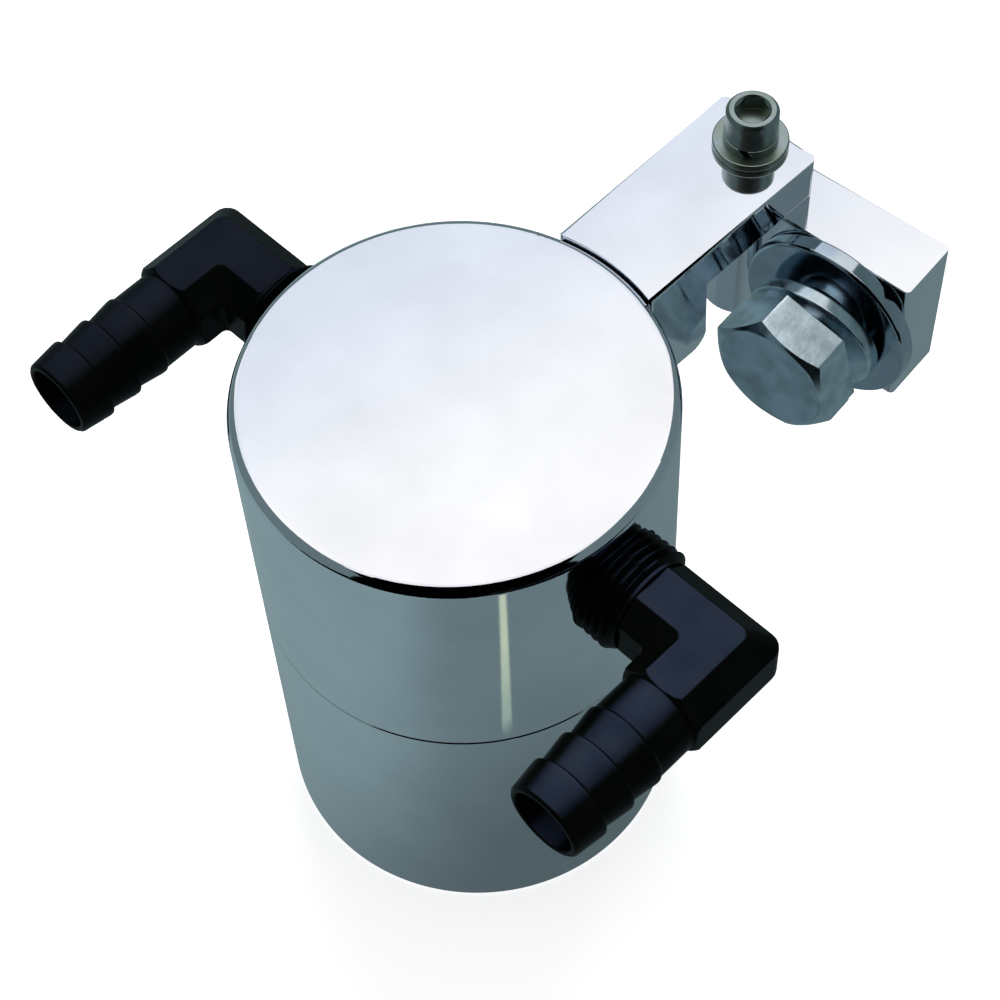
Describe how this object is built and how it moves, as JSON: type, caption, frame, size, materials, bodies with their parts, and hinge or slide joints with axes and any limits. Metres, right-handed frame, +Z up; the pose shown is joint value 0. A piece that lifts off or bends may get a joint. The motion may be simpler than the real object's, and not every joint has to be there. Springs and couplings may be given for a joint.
{
  "type": "oil catch can",
  "caption": "Round two-part aluminium oil catch can with elbow hose fittings, a baffle inside and a bracket arm with a swinging bolt link.",
  "frame": {"origin": "centre of the can's flat base", "axes": "+Z up along the can's axis, +Y along the bracket arm, +X towards the inlet port; both hose ends point along -Y"},
  "size_m": [0.112, 0.1104, 0.1056],
  "materials": {
    "polished_aluminium": "mirror polished",
    "plain_aluminium": "mill",
    "black_plastic": "satin",
    "zinc_steel": "zinc plated",
    "black_steel": "black oxide",
    "seal_rubber": "matte",
    "filter_foam": "open-cell foam"
  },
  "bodies": {
    "can_body": {"upper_body": "polished_aluminium", "inlet_elbow": "black_plastic", "outlet_elbow": "black_plastic", "drop_tube": "plain_aluminium", "top_screen": "plain_aluminium", "filter_pad": "filter_foam", "baffle_plate": "plain_aluminium", "standoffs": "zinc_steel", "baffle_screws": "zinc_steel", "bracket_arm": "polished_aluminium", "foot_screws": "black_steel"},
    "seal": {"bowl_seal": "seal_rubber"},
    "bowl": {"lower_bowl": "polished_aluminium"},
    "link": {"swing_link": "polished_aluminium", "pivot_screw": "black_steel", "pivot_lock_washer": "black_steel", "pivot_washer": "black_steel", "bolt_spring_washer": "zinc_steel", "bolt_flat_washer": "zinc_steel"},
    "bolt": {"mounting_bolt": "zinc_steel"}
  },
  "joints": [
    {"name": "bowl_drop", "type": "slide", "parent": "can_body", "child": "seal", "axis": [0, 0, -1], "range_m": [0, 0.01]},
    {"name": "bowl_turn", "type": "hinge", "parent": "seal", "child": "bowl", "pos_m": [0, 0, 0.0545], "axis": [0, 0, -1], "range_deg": [0, 1800]},
    {"name": "link_swing", "type": "hinge", "parent": "can_body", "child": "link", "pos_m": [0, 0.062, 0.09], "axis": [0, 0, 1], "range_deg": [-3, 195]},
    {"name": "bolt_spin", "type": "hinge", "parent": "link", "child": "bolt", "pos_m": [0.01943, 0.0637, 0.07725], "axis": [-0.0872, 0.9962, 0], "continuous": true}
  ],
  "couplings": [
    {"joint": "bowl_drop", "follows": "bowl_turn", "m_per_rad": 0.00031831}
  ]
}
